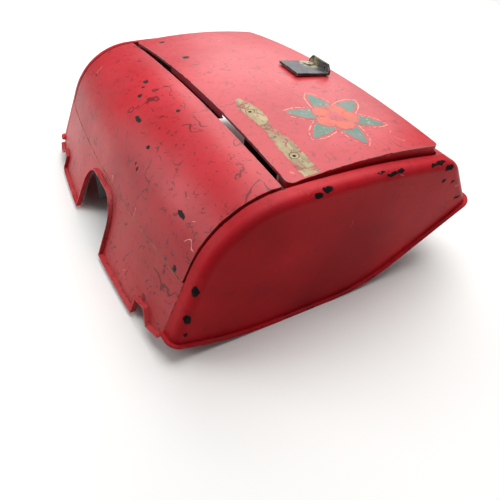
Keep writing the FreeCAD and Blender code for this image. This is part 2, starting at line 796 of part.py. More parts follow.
def hinge_leaf_rivets():
    """Semi-tubular rivets sunk flush in the door and set below the hinge leaves."""
    depth = sheet + bracket_sheet
    tail_height = 2 * rivet_dish_depth
    foot = -depth - tail_height
    rivets = []
    for x, y in hinge_rivet_places():
        head = Part.makeCylinder(rivet_head_radius, sheet, V(0, 0, -sheet))
        shank = Part.makeCylinder(rivet_shank_radius, -foot, V(0, 0, foot))
        eye = Part.makeCylinder(rivet_eye_radius, 2 * sheet, V(0, 0, -1.2 * sheet))
        dish = Part.makeCone(rivet_shank_radius, rivet_dish_radius, rivet_dish_depth,
                             V(0, 0, -rivet_dish_depth))
        body = on_door(x, y, joined([head, shank]).cut(eye).cut(dish))
        tail = on_door(x, y, Part.makeCylinder(rivet_tail_radius, depth, V(0, 0, foot)))
        rivets.append(joined([body, tail.common(door_envelope(depth))]))
    return Part.Compound(rivets)


# --- turn latch ---------------------------------------------------------------------------------
def latch_washer():
    """Washer below the latch plate, seated on the door's curve."""
    ring = Part.makeCylinder(washer_radius, 2 * washer_thickness, V(0, 0, -washer_thickness))
    hole = Part.makeCylinder(spindle_radius + spindle_clearance, 4 * washer_thickness,
                             V(0, 0, -2 * washer_thickness))
    return on_door(latch_x, latch_y, ring.cut(hole)).cut(door_envelope(0))


def plate_floor():
    return washer_thickness + latch_gap


def square_bar(z0, z1):
    """Square of the spindle that turns the plate and the cam."""
    half = spindle_square_half
    return box(-half, half, -half, half, z0, z1)


def latch_plate():
    """Turning plate with an upturned finger lip at the door's free edge."""
    z0 = plate_floor()
    w, t, off = latch_plate_half_width, latch_plate_thickness, latch_plate_offset
    plate = box(-w, w, -latch_plate_back, latch_plate_front, z0, z0 + t)
    top, chamfer = z0 + finger_lip_height, finger_lip_chamfer
    corners = [V(-w, 0, z0), V(w, 0, z0), V(w, 0, top - chamfer), V(w - chamfer, 0, top),
               V(-w + chamfer, 0, top), V(-w, 0, top - chamfer)]
    lip = Part.Face(Part.makePolygon(corners + corners[:1])).extrude(V(0, -t, 0))
    lip.translate(V(0, latch_plate_front, 0))
    finger_hole = Part.makeCylinder(finger_hole_radius, 4 * t, V(w - finger_hole_inset,
                                    latch_plate_front - 3 * t, z0 + t + finger_hole_height), V(0, 1, 0))
    whole = joined([plate, lip]).cut(finger_hole)
    whole.translate(V(off, 0, 0))
    whole = whole.cut(square_bar(z0 - t, z0 + 2 * t))
    whole.rotate(V(0, 0, 0), V(0, 0, 1), latch_plate_turn)
    return on_door(latch_x, latch_y, whole)


def latch_spindle():
    """Headed spindle: square where the plate and the cam sit, round through the door."""
    z0 = plate_floor()
    z1 = z0 + latch_plate_thickness
    cam_foot = -cam_drop - cam_thickness
    head = Part.makeCylinder(spindle_head_radius, spindle_head_height, V(0, 0, z1))
    eye = Part.makeCylinder(spindle_eye_radius, spindle_head_height, V(0, 0, z1 + spindle_head_height / 3))
    neck = square_bar(z0, z1)
    shank = Part.makeCylinder(spindle_radius, z0 + cam_drop, V(0, 0, -cam_drop))
    tail = square_bar(cam_foot, -cam_drop)
    thread = Part.makeCylinder(spindle_thread_radius, spindle_thread_length,
                               V(0, 0, cam_foot - spindle_thread_length))
    spindle = joined([head.cut(eye), neck, shank, tail, thread])
    spindle.rotate(V(0, 0, 0), V(0, 0, 1), latch_plate_turn)
    return on_door(latch_x, latch_y, spindle)


def latch_cam():
    """Tongue that hooks below the latch rail; it points along the rail while unlocked."""
    root = Part.makeCylinder(cam_width / 2, cam_thickness, V(0, 0, -cam_drop - cam_thickness))
    arm = box(0, cam_length - cam_width / 2, -cam_width / 2, cam_width / 2,
              -cam_drop - cam_thickness, -cam_drop)
    tip = Part.makeCylinder(cam_width / 2, cam_thickness,
                            V(cam_length - cam_width / 2, 0, -cam_drop - cam_thickness))
    square = square_bar(-cam_drop - 2 * cam_thickness, -cam_drop + cam_thickness)
    square.rotate(V(0, 0, 0), V(0, 0, 1), latch_plate_turn)
    return on_door(latch_x, latch_y, joined([root, arm, tip]).cut(square))


def latch_nut():
    """Hexagon nut that holds the cam on the spindle."""
    top = -cam_drop - cam_thickness
    radius = nut_across_flats / 2 / cos(radians(30))
    corners = [V(radius * cos(radians(60 * i)), radius * sin(radians(60 * i)), top) for i in range(7)]
    nut = Part.Face(Part.makePolygon(corners)).extrude(V(0, 0, -nut_height))
    bore = Part.makeCylinder(spindle_thread_radius, 3 * nut_height, V(0, 0, top - 2 * nut_height))
    return on_door(latch_x, latch_y, nut.cut(bore))


def bump_stops():
    """Rubber buttons that the door's folded edges close on."""
    stops = []
    places = [(bump_x, aperture_end_y - bump_inset), (border_half_width - bump_inset, bump_side_y)]
    for x, y in places:
        column = Part.makeCylinder(bump_radius, 60, V(x, y, -40))
        below_door = column.common(door_envelope(door_skirt_depth + bump_gap))
        stops.append(below_door.common(face_layer(0, aperture_flange_depth)))
    return Part.Compound(stops + [mirrored(stop) for stop in stops])


# --- build --------------------------------------------------------------------------------------
PIECES = [
    right_cheek, left_cheek, lower_wall, upper_wall, curved_panel,
    right_joint_strip, left_joint_strip, crease_strip,
    right_aperture_rail, left_aperture_rail, latch_rail, strike_plate,
    spine_shroud, lower_mounting_tabs, upper_mounting_tabs, bump_stops,
    right_hinge_arm, left_hinge_arm, right_hinge_pin, left_hinge_pin, hinge_arm_rivets,
    door_skin, door_stiffener, right_hinge_leaf, left_hinge_leaf, hinge_leaf_rivets,
    latch_washer, latch_plate, latch_spindle, latch_cam, latch_nut,
]


def stand_on_floor(shapes):
    """Shift everything so that the origin is below the middle of the whole box, on z = 0."""
    whole = Part.Compound(list(shapes.values())).optimalBoundingBox(False, False)
    shift = V(0, -(whole.YMin + whole.YMax) / 2, -whole.ZMin)
    for shape in shapes.values():
        shape.translate(shift)
    return shift


def main():
    os.makedirs("parts", exist_ok=True)
    shapes = {piece.__name__: piece() for piece in PIECES}
    shift = stand_on_floor(shapes)
    print("moved by", shift)
    for name, shape in shapes.items():
        shape.exportStep(os.path.join("parts", name + ".step"))


if __name__ == "__main__":
    main()
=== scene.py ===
import math

import bmesh
import bpy
from bpy.props import FloatProperty, FloatVectorProperty, PointerProperty
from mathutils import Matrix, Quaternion, Vector, noise
from mathutils.bvhtree import BVHTree


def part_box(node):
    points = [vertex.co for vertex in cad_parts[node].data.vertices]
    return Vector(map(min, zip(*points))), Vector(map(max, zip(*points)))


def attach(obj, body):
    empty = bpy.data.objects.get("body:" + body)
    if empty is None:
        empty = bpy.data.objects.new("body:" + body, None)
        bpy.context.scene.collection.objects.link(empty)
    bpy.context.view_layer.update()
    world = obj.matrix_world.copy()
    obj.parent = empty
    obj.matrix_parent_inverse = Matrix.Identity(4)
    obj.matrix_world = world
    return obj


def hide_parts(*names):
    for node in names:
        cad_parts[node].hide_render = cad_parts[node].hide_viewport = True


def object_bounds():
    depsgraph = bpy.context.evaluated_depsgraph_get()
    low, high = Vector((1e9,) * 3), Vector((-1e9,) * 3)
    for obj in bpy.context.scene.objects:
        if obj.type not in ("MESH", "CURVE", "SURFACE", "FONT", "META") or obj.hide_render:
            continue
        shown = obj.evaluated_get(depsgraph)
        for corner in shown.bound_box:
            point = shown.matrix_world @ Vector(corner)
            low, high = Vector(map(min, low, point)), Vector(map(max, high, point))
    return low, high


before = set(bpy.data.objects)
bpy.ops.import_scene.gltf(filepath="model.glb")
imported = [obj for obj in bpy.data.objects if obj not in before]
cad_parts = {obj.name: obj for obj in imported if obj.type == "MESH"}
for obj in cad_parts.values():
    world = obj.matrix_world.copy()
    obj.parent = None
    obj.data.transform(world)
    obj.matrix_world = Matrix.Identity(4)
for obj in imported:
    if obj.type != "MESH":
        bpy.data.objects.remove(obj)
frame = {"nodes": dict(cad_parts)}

bl_info = {
    "name": "Scooter glove box finish",
    "version": (1, 0, 0),
    "blender": (4, 5, 0),
    "location": "View3D > Sidebar > Glove box",
    "description": "Aged enamel, transfer, filler and latch for a pressed steel glove box",
    "category": "Object",
}

MM = 0.001
CAD_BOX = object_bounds()
SHOWN = {"nodes": frame["nodes"], "materials": {}}


# --- sizes and colours a user would change ------------------------------------------------------
def linear(text, alpha=1.0):
    """Colour of an sRGB hex text in linear light."""
    parts = [int(text[i:i + 2], 16) / 255 for i in (1, 3, 5)]
    values = [c / 12.92 if c <= 0.04045 else ((c + 0.055) / 1.055) ** 2.4 for c in parts]
    return (*values, alpha)


def length(title, words, default):
    return FloatProperty(name=title, description=words, default=default, unit="LENGTH", precision=5)


def colour(title, words, text):
    return FloatVectorProperty(name=title, description=words, default=linear(text), size=4,
                               subtype="COLOR", min=0.0, max=1.0)


class GloveBoxEnamel(bpy.types.PropertyGroup):
    red: colour("Red", "Enamel where it has kept its colour", "#BE1420")
    deep: colour("Deep red", "Enamel in its darker clouds", "#970D16")
    faded: colour("Faded red", "Chalky enamel on surfaces that face the sky", "#D24C55")
    dusty: colour("Dusty red", "Enamel under old dust on the lower wall", "#B3605E")
    steel: colour("Bare patch", "Darkened steel inside the chips", "#131113")
    rust: colour("Rust", "Rim of a chip", "#3E2019")
    filler: colour("Filler", "Old body filler where the red is rubbed through", "#A8946A")


class GloveBoxTransfer(bpy.types.PropertyGroup):
    leaf: colour("Leaf", "Grey green of the transfer's leaf", "#3C6A52")
    outline: colour("Outline", "Pale line round the transfer", "#E9B48C")
    petal: colour("Petal", "Orange of the transfer's flower", "#D8481C")
    heart: colour("Heart", "Pink red middle of the flower", "#C9353C")
    gap: length("Outline gap", "From the leaf to its pale outline", 2.4 * MM)
    line: length("Outline width", "Width of the pale outline", 0.9 * MM)


class GloveBoxStage(bpy.types.PropertyGroup):
    floor: colour("Floor", "Plain pale floor", "#F3F2F0")
    floor_size: length("Floor size", "Side of the square floor", 9.0)


# --- material nodes -----------------------------------------------------------------------------
def add(tree, kind, links=None, **settings):
    """Add a node with its settings, then feed or set its inputs."""
    made = tree.nodes.new(kind)
    for key, value in settings.items():
        setattr(made, key, value)
    for key, value in (links or {}).items():
        if isinstance(value, bpy.types.NodeSocket):
            tree.links.new(value, made.inputs[key])
        else:
            made.inputs[key].default_value = value
    return made


def new_material(name):
    material = bpy.data.materials.new(name)
    material.use_nodes = True
    material.node_tree.nodes.clear()
    tree = material.node_tree
    return material, tree, add(tree, "ShaderNodeTexCoord")


def finish_material(tree, **links):
    shader = add(tree, "ShaderNodeBsdfPrincipled", {key.replace("_", " "): v for key, v in links.items()})
    add(tree, "ShaderNodeOutputMaterial", {"Surface": shader.outputs["BSDF"]})


def blotches(tree, place, size, low, high, detail=4.0, roughness=0.55):
    """Cloudy mask whose lumps are about size across; it rises from 0 at low to 1 at high."""
    cloud = add(tree, "ShaderNodeTexNoise", {"Vector": place, "Scale": 0.5 / size, "Detail": detail,
                                             "Roughness": roughness})
    return add(tree, "ShaderNodeMapRange", {"Value": cloud.outputs["Fac"], "From Min": low,
                                            "From Max": high}).outputs["Result"]


def shifted(tree, place, size, reach):
    """The same place pushed about by up to reach, so that straight edges turn ragged."""
    cloud = add(tree, "ShaderNodeTexNoise", {"Vector": place, "Scale": 0.5 / size, "Detail": 3.0})
    centred = add(tree, "ShaderNodeVectorMath", {0: cloud.outputs["Color"], 1: (0.5, 0.5, 0.5)},
                  operation="SUBTRACT")
    return add(tree, "ShaderNodeVectorMath", {0: centred.outputs["Vector"], 1: (2 * reach,) * 3, 2: place},
               operation="MULTIPLY_ADD").outputs["Vector"]


def times(tree, a, b, operation="MULTIPLY"):
    return add(tree, "ShaderNodeMath", {0: a, 1: b}, operation=operation, use_clamp=True).outputs["Value"]


def blend_colour(tree, factor, a, b):
    return add(tree, "ShaderNodeMix", {0: factor, 6: a, 7: b}, data_type="RGBA").outputs[2]


def squiggles(tree, place, size, width, low):
    """Short wandering hairlines that turn within about size; rarer where low is higher."""
    cloud = add(tree, "ShaderNodeTexNoise", {"Vector": place, "Scale": 0.5 / size, "Detail": 2.0})
    away = add(tree, "ShaderNodeMath", {0: cloud.outputs["Fac"], 1: 0.5}, operation="SUBTRACT")
    away = add(tree, "ShaderNodeMath", {0: away.outputs["Value"]}, operation="ABSOLUTE")
    line = add(tree, "ShaderNodeMapRange", {"Value": away.outputs["Value"], "From Min": 0.3 * width / size,
                                            "From Max": 0.1 * width / size})
    return times(tree, line.outputs["Result"], blotches(tree, place, 0.7 * size, low, low + 0.04, 1.0))


def flecks(tree, place, cell, radius, share):
    """Scattered ragged dots of about radius, in that share of cells that are cell across."""
    grid = add(tree, "ShaderNodeTexVoronoi", {"Vector": shifted(tree, place, radius, 0.8 * radius),
                                              "Scale": 1 / cell})
    dot = add(tree, "ShaderNodeMapRange", {"Value": grid.outputs["Distance"], "From Min": radius / cell,
                                           "From Max": 0.7 * radius / cell})
    lot = add(tree, "ShaderNodeSeparateXYZ", {0: grid.outputs["Color"]})
    picked = add(tree, "ShaderNodeMath", {0: lot.outputs["X"], 1: share}, operation="LESS_THAN")
    return times(tree, dot.outputs["Result"], picked.outputs["Value"])


def streaks(tree, place, turn, spacing, stretch, low):
    """Brushed streaks that run one way, rarer where low is higher."""
    along = add(tree, "ShaderNodeMapping", {"Vector": place, "Rotation": turn,
                                            "Scale": (1 / stretch, 1.0, 1.0)})
    return blotches(tree, along.outputs["Vector"], spacing, low, low + 0.06, detail=2.0)


def marks(tree, place, spots):
    """Mask of placed oval marks, each a middle and three half-sizes in millimetres.

    A middle is counted across from the box's middle, back from the door's hinge-side edge and up
    from the floor.
    """
    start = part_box("door_skin")[0].y
    total = 0.0
    for middle, half in spots:
        seat = Vector(middle) * MM + Vector((0, start, 0))
        offset = add(tree, "ShaderNodeVectorMath", {0: place, 1: seat}, operation="SUBTRACT")
        scaled = add(tree, "ShaderNodeVectorMath", {0: offset.outputs["Vector"], 1: Vector(half) * MM},
                     operation="DIVIDE")
        far = add(tree, "ShaderNodeVectorMath", {0: scaled.outputs["Vector"]}, operation="LENGTH")
        inside = add(tree, "ShaderNodeMapRange", {"Value": far.outputs["Value"], "From Min": 1.08,
                                                  "From Max": 0.92})
        total = times(tree, inside.outputs["Result"], total, "MAXIMUM")
    return total


def sharp_edges(tree, width):
    """Mask of the edges that a hand or a strap rubs, about width wide."""
    rounded = add(tree, "ShaderNodeBevel", {"Radius": width}, samples=6)
    flat = add(tree, "ShaderNodeNewGeometry")
    facing = add(tree, "ShaderNodeVectorMath", {0: rounded.outputs["Normal"], 1: flat.outputs["Normal"]},
                 operation="DOT_PRODUCT")
    return add(tree, "ShaderNodeMapRange", {"Value": facing.outputs["Value"], "From Min": 0.995,
                                            "From Max": 0.93}).outputs["Result"]


# --- materials ----------------------------------------------------------------------------------
CRACK_SIZES = (              # how tightly a crack turns, its width, how rare it is
    (22 * MM, 0.8 * MM, 0.55),
    (9 * MM, 0.5 * MM, 0.58),
    (4 * MM, 0.45 * MM, 0.60),
)


def crazed_enamel(name, spots, chalk=0.6, dust=0.0, wear=1.0, crazing=1.0, pale_edge=0.0, specular=0.3):
    """Stoving enamel sixty years old: gloss gone chalky on top, crazed, chipped to dark steel.

    The eye sees a red that clouds between deep and pinkish, short hairline cracks that wander,
    nicks painted pale pink as a painted highlight on their edges, and ragged black chips, most of
    them along the bends and folded edges. Chalk fades what faces up, dust greys it, crazing is the
    strength of cracks and nicks and of the nicks' painted highlight, and pale_edge dulls the folded
    skirt on the hinge side and bares its edges.
    """
    look = bpy.context.scene.glove_box_enamel
    material, tree, coordinate = new_material(name)
    place = coordinate.outputs["Object"]
    facing = add(tree, "ShaderNodeSeparateXYZ", {0: coordinate.outputs["Normal"]})
    clouds = blotches(tree, place, 55 * MM, 0.34, 0.68)
    paint = blend_colour(tree, clouds, tuple(look.red), tuple(look.deep))
    skyward = add(tree, "ShaderNodeMapRange", {"Value": facing.outputs["Z"], "From Min": 0.15,
                                               "From Max": 1.0, "To Max": chalk})
    chalky = times(tree, skyward.outputs["Result"], blotches(tree, place, 30 * MM, 0.05, 0.75))
    paint = blend_colour(tree, chalky, paint, tuple(look.faded))
    dusted = times(tree, blotches(tree, place, 40 * MM, 0.3, 0.7), dust)
    paint = blend_colour(tree, dusted, paint, tuple(look.dusty))
    mottle = times(tree, blotches(tree, place, 3.5 * MM, 0.54, 0.7, detail=3.0), 0.28)
    paint = blend_colour(tree, mottle, paint, tuple(look.deep))

    hinge_side = add(tree, "ShaderNodeMapRange", {"Value": facing.outputs["Y"], "From Min": -0.93,
                                                  "From Max": -0.98, "To Max": pale_edge})
    paint = blend_colour(tree, hinge_side.outputs["Result"], paint, linear("#7A4650"))

    crack = 0.0
    for size, width, low in CRACK_SIZES:
        crack = times(tree, crack, squiggles(tree, shifted(tree, place, 3 * MM, MM), size, width, low),
                      "MAXIMUM")
    crack = times(tree, crack, crazing)
    paint = blend_colour(tree, times(tree, crack, 0.75), paint, linear("#4A0E12"))
    # Nicks: real small recessed marks in the bump. The pale pink laid over them is a painted highlight of
    # light catching their edges.
    nicks_and_painted_glints = times(tree, flecks(tree, place, 13 * MM, 0.6 * MM, 0.12 * wear),
                  squiggles(tree, place, 15 * MM, 0.5 * MM, 0.70), "MAXIMUM")
    paint = blend_colour(tree, times(tree, nicks_and_painted_glints, 0.6 * crazing), paint, linear("#F0B5AE"))

    ragged = shifted(tree, place, 1.8 * MM, 2.0 * MM)
    chips = times(tree, flecks(tree, place, 40 * MM, 1.7 * MM, 0.1 * wear),
                  flecks(tree, place, 17 * MM, 0.8 * MM, 0.12 * wear), "MAXIMUM")
    edge = sharp_edges(tree, 1.4 * MM)
    worn = times(tree, edge, blotches(tree, place, 9 * MM, 0.53, 0.57))
    chips = times(tree, chips, times(tree, worn, 1.0 - pale_edge), "MAXIMUM")
    if spots:
        chips = times(tree, chips, marks(tree, ragged, spots), "MAXIMUM")
    rim = blend_colour(tree, blotches(tree, place, 3 * MM, 0.5, 0.7), tuple(look.steel), tuple(look.rust))
    paint = blend_colour(tree, chips, paint, rim)
    rubbed = times(tree, times(tree, edge, blotches(tree, place, 6 * MM, 0.42, 0.5)), pale_edge)
    paint = blend_colour(tree, rubbed, paint, linear("#C9A79C"))

    sheen = add(tree, "ShaderNodeMapRange", {"Value": clouds, "To Min": 0.32, "To Max": 0.45})
    rough = times(tree, sheen.outputs["Result"], times(tree, chips, 0.35), "ADD")
    rough = times(tree, rough, times(tree, chalky, 0.1), "ADD")
    dents = add(tree, "ShaderNodeTexNoise", {"Vector": place, "Scale": 12.0, "Detail": 1.0})
    skin = add(tree, "ShaderNodeTexNoise", {"Vector": place, "Scale": 600.0, "Detail": 2.0})
    height = add(tree, "ShaderNodeMath", {0: skin.outputs["Fac"], 1: 0.04}, operation="MULTIPLY")
    for mask, depth in ((chips, -0.6), (crack, -0.3), (nicks_and_painted_glints, -0.3)):
        height = add(tree, "ShaderNodeMath", {0: mask, 1: depth, 2: height.outputs["Value"]},
                     operation="MULTIPLY_ADD")
    eased = add(tree, "ShaderNodeBevel", {"Radius": 1.1 * MM}, samples=6)
    wave = add(tree, "ShaderNodeBump", {"Height": dents.outputs["Fac"], "Strength": 0.5,
                                        "Distance": 3.0 * MM, "Normal": eased.outputs["Normal"]})
    bump = add(tree, "ShaderNodeBump", {"Height": height.outputs["Value"], "Strength": 0.7,
                                        "Distance": 0.35 * MM, "Normal": wave.outputs["Normal"]})
    finish_material(tree, Base_Color=paint, Roughness=rough, Specular_IOR_Level=specular,
                    Normal=bump.outputs["Normal"])
    return material


def primer(name, dark, light, rust=0.3, rough=0.62):
    """Thin matt primer over pressed steel: dusty, thin at the edges and spotted with rust."""
    material, tree, coordinate = new_material(name)
    place = coordinate.outputs["Object"]
    paint = blend_colour(tree, blotches(tree, place, 25 * MM, 0.35, 0.65), linear(dark), linear(light))
    specks = times(tree, blotches(tree, place, 5 * MM, 0.58, 0.66), rust)
    paint = blend_colour(tree, specks, paint, linear("#6B3A22"))
    grain = add(tree, "ShaderNodeTexNoise", {"Vector": place, "Scale": 900.0, "Detail": 2.0})
    bump = add(tree, "ShaderNodeBump", {"Height": grain.outputs["Fac"], "Strength": 0.3,
                                        "Distance": 0.1 * MM})
    finish_material(tree, Base_Color=paint, Roughness=rough, Normal=bump.outputs["Normal"])
    return material


def dull_steel(name, dark, light, rust):
    """Mild steel that has lost its plating: brownish grey, softly reflecting, rust in its pits."""
    material, tree, coordinate = new_material(name)
    place = coordinate.outputs["Object"]
    metal = blend_colour(tree, blotches(tree, place, 6 * MM, 0.35, 0.65), linear(dark), linear(light))
    pits = blotches(tree, place, 2.5 * MM, 0.56, 0.64)
    metal = blend_colour(tree, times(tree, pits, rust), metal, linear("#5A3420"))
    shine = add(tree, "ShaderNodeMapRange", {"Value": pits, "To Min": 0.85, "To Max": 0.2})
    rough = add(tree, "ShaderNodeMapRange", {"Value": pits, "To Min": 0.38, "To Max": 0.75})
    bump = add(tree, "ShaderNodeBump", {"Height": pits, "Strength": 0.4, "Distance": 0.1 * MM})
    finish_material(tree, Base_Color=metal, Metallic=shine.outputs["Result"],
                    Roughness=rough.outputs["Result"], Normal=bump.outputs["Normal"])
    return material


def old_filler(name):
    """Oil-bound filler rubbed through the red: khaki, streaked along the hinge and finely crazed."""
    look = bpy.context.scene.glove_box_enamel
    material, tree, coordinate = new_material(name)
    place = coordinate.outputs["Object"]
    paste = blend_colour(tree, blotches(tree, place, 7 * MM, 0.35, 0.65), tuple(look.filler),
                         linear("#8C7752"))
    drawn = streaks(tree, place, (0.0, 0.0, 0.1), 2.0 * MM, 6.0, 0.50)
    paste = blend_colour(tree, times(tree, drawn, 0.5), paste, linear("#BDAC80"))
    smudge = times(tree, blotches(tree, place, 6 * MM, 0.56, 0.62), 0.65)
    paste = blend_colour(tree, smudge, paste, linear("#B4484A"))
    red_lines = squiggles(tree, place, 7 * MM, 0.9 * MM, 0.48)
    paste = blend_colour(tree, times(tree, red_lines, 0.8), paste, linear("#8E3330"))
    dark_lines = squiggles(tree, place, 4 * MM, 0.6 * MM, 0.52)
    paste = blend_colour(tree, times(tree, dark_lines, 0.7), paste, linear("#4A2A1E"))
    bump = add(tree, "ShaderNodeBump", {"Height": dark_lines, "Strength": 0.5, "Distance": -0.2 * MM})
    finish_material(tree, Base_Color=paste, Roughness=0.6, Normal=bump.outputs["Normal"])
    return material


def transfer_ink(name, ink, second, worn, amount):
    """Printed transfer on old enamel: flat ink, rubbed to specks of the layer below it."""
    material, tree, coordinate = new_material(name)
    place = coordinate.outputs["Object"]
    print_colour = blend_colour(tree, blotches(tree, place, 12 * MM, 0.4, 0.6), ink, second)
    rubbed = times(tree, blotches(tree, place, 1.8 * MM, 0.66 - 0.2 * amount, 0.70 - 0.2 * amount),
                   blotches(tree, place, 14 * MM, 0.56 - 0.2 * amount, 0.66 - 0.2 * amount))
    print_colour = blend_colour(tree, rubbed, print_colour, worn)
    lines = squiggles(tree, place, 12 * MM, 0.5 * MM, 0.56)
    print_colour = blend_colour(tree, times(tree, lines, 0.6), print_colour, linear("#3B1A16"))
    bump = add(tree, "ShaderNodeBump", {"Height": rubbed, "Strength": 0.3, "Distance": -0.1 * MM})
    finish_material(tree, Base_Color=print_colour, Roughness=0.45, Normal=bump.outputs["Normal"])
    return material


def worn_latch_paint(name, spindle):
    """Dark grey paint over a cream coat: cream round the spindle and along worn edges, with dirt."""
    material, tree, coordinate = new_material(name)
    place = coordinate.outputs["Object"]
    slate = blend_colour(tree, blotches(tree, place, 8 * MM, 0.35, 0.65), linear("#3A3A40"),
                         linear("#55565A"))
    ragged = shifted(tree, place, 3 * MM, 3.0 * MM)
    bare = marks(tree, ragged, [(spindle, (12.0, 9.5, 14.0))])
    edges = times(tree, sharp_edges(tree, 1.0 * MM), blotches(tree, place, 3 * MM, 0.40, 0.48))
    cream = times(tree, bare, edges, "MAXIMUM")
    paint = blend_colour(tree, times(tree, cream, 0.85), slate, linear("#A69D7C"))
    dirt = times(tree, blotches(tree, place, 2.2 * MM, 0.53, 0.60), 0.85)
    paint = blend_colour(tree, dirt, paint, linear("#1B1916"))
    bump = add(tree, "ShaderNodeBump", {"Height": cream, "Strength": 0.5, "Distance": -0.2 * MM})
    finish_material(tree, Base_Color=paint, Roughness=0.5, Normal=bump.outputs["Normal"])
    return material


def worn_rubber(name):
    """Moulded rubber gone matt and grey with dust."""
    material, tree, coordinate = new_material(name)
    place = coordinate.outputs["Object"]
    skin = blend_colour(tree, blotches(tree, place, 4 * MM, 0.4, 0.6), linear("#17171A"), linear("#2B2A2A"))
    finish_material(tree, Base_Color=skin, Roughness=0.8)
    return material


def rivet_metal(name, eyes, heads):
    """Sunk rivet heads smeared with filler: pale, with a dark hollow eye, and dark round the head."""
    look = bpy.context.scene.glove_box_enamel
    material, tree, coordinate = new_material(name)
    place = coordinate.outputs["Object"]
    metal = blend_colour(tree, blotches(tree, place, 2 * MM, 0.4, 0.6), tuple(look.filler),
                         linear("#B5A673"))
    wobble = shifted(tree, place, 1.5 * MM, 0.3 * MM)
    outside = add(tree, "ShaderNodeMath", {0: 1.0, 1: marks(tree, wobble, heads)}, operation="SUBTRACT")
    dark = times(tree, outside.outputs["Value"], marks(tree, wobble, eyes), "MAXIMUM")
    metal = blend_colour(tree, dark, metal, linear("#2A1B12"))
    finish_material(tree, Base_Color=metal, Roughness=0.6)
    return material


# --- mesh helpers -------------------------------------------------------------------------------
def surface_of(*nodes):
    """Search tree over the triangles of some CAD nodes."""
    points, faces = [], []
    for name in nodes:
        mesh = SHOWN["nodes"][name].data
        start = len(points)
        points += [vertex.co.copy() for vertex in mesh.vertices]
        faces += [[start + i for i in face.vertices] for face in mesh.polygons]
    return BVHTree.FromPolygons(points, faces)


def laid_on(surface, start, direction, lift):
    """Where a ray meets the surface, stood off from it by lift; None past its edge."""
    point, normal, _, _ = surface.ray_cast(start, direction)
    if point is None:
        return None
    if normal.dot(direction) > 0:
        normal = -normal
    return point + normal * lift


def lay_sheet(bm, surface, lift, direction=Vector((0, 0, -1)), start=0.4):
    """Drop a flat mesh onto a surface; what falls past the surface's edge is removed."""
    lost = []
    for vertex in bm.verts:
        place = laid_on(surface, vertex.co - direction * start, direction, lift)
        if place is None:
            lost.append(vertex)
        else:
            vertex.co = place
    bmesh.ops.delete(bm, geom=lost, context="VERTS")


def finished(bm, name, material, body, smooth=True):
    """Turn a bmesh into a piece that rides on a body."""
    mesh = bpy.data.meshes.new(name)
    bm.to_mesh(mesh)
    bm.free()
    for polygon in mesh.polygons:
        polygon.use_smooth = smooth
    piece = bpy.data.objects.new(name, mesh)
    bpy.context.scene.collection.objects.link(piece)
    mesh.materials.append(material)
    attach(piece, body)
    return piece


def face_up(bm, direction):
    """Turn every face of an open sheet to look against direction."""
    away = [face for face in bm.faces if face.normal.dot(direction) > 0]
    bmesh.ops.reverse_faces(bm, faces=away)


def petal_mesh(bm, root, tip, width, grow, fullness, blunt):
    """One leaf or petal: a grid narrowed to its outline, which grow widens all round."""
    made = bmesh.ops.create_grid(bm, x_segments=24, y_segments=5, size=0.5)["verts"]
    along = (tip - root).normalized()
    across = Vector((-along.y, along.x, 0))
    start = root - along * grow
    reach = (tip - root).length + 2 * grow
    for vertex in made:
        u = vertex.co.x + 0.5
        outline = math.sin(math.pi * u ** fullness) ** blunt if 0 < u < 1 else 0.0
        half = 0.5 * width * outline + grow * min(1.0, 6 * u, 6 * (1 - u))
        ragged = 0.3 * MM * noise.noise(Vector((u * 9, vertex.co.y * 4, root.x * 90)))
        side = 2 * vertex.co.y * (half + ragged)
        vertex.co = start + along * (reach * u) + across * side


# --- pieces -------------------------------------------------------------------------------------
def door_point(x, y):
    """Place on the door from its hinge-side middle, in millimetres across and towards the latch."""
    low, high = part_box("door_skin")
    return Vector(((low.x + high.x) / 2 + x * MM, low.y + y * MM, 0))


PANEL_CHIPS = [              # middle and half-sizes of each large chip, as marks counts them
    ((-41, -34, 133), (3.5, 3, 3)), ((-34, -40, 131), (2.2, 2, 2)),
    ((9, -60, 120), (6.5, 2.4, 2.4)), ((-22, -47, 128), (3.2, 2.4, 2.4)),
    ((34, -31, 134), (2.6, 2, 2)), ((51, -66, 114), (2.8, 2.2, 2.2)),
    ((50, -78, 100), (1.6, 1.6, 1.6)), ((56, -79, 98), (1.6, 2, 2)),
    ((136, -71, 101), (5.5, 2.2, 2.2)), ((156, -87, 67), (3.2, 3, 4.5)),
]
CHEEK_CHIPS = [
    ((184, 26, 128), (2.6, 5.0, 2.6)), ((186, 17, 126), (2, 4, 2)),
    ((185, 91, 126), (2, 7, 1.6)), ((184, 101, 126), (2, 4, 2.2)), ((182, 80, 128), (1.4, 8, 1)),
    ((183, 146, 122), (3, 12, 1.4)), ((184, 160, 116), (4, 8, 3)), ((180, 166, 114), (6, 4, 3)),
    ((186, 172, 100), (2, 3, 3)), ((187, 159, 104), (2, 3, 2)), ((187, 190, 78), (3, 5, 1.6)),
    ((185, -82, 68), (3, 3, 5)), ((187, -90, 43), (3, 3, 5)), ((188, -92, 27), (3, 2, 2.4)),
]
RIVETS_ACROSS = (71.6, 143.4)
RIVET_BACK = 21.5
RIVET_OPENING = 4.3          # radius left open in the filler round a rivet
FILLER_START = 45.0
FILLER_LENGTH = 123.5
FILLER_BACK = 22.5
FILLER_HALF_WIDTH = 7.5
SPINDLE_HEAD = 5.5           # radius
ROSETTE = (108.0, 88.0)      # middle of the leaf and flower transfer on the door
LEAVES = 6
LEAF_REACH = 45.0
LEAF_WIDTH = 17.0
HUB_RADIUS = 6.0
PETALS = 5
PETAL_REACH = 22.0
PETAL_WIDTH = 19.0
HEART_REACH = 9.0
HEART_WIDTH = 6.5
LATCH_WEAR = 0.45 * MM
LATCH_SHARP = math.radians(50)
ROOM_LIGHT = 0.14
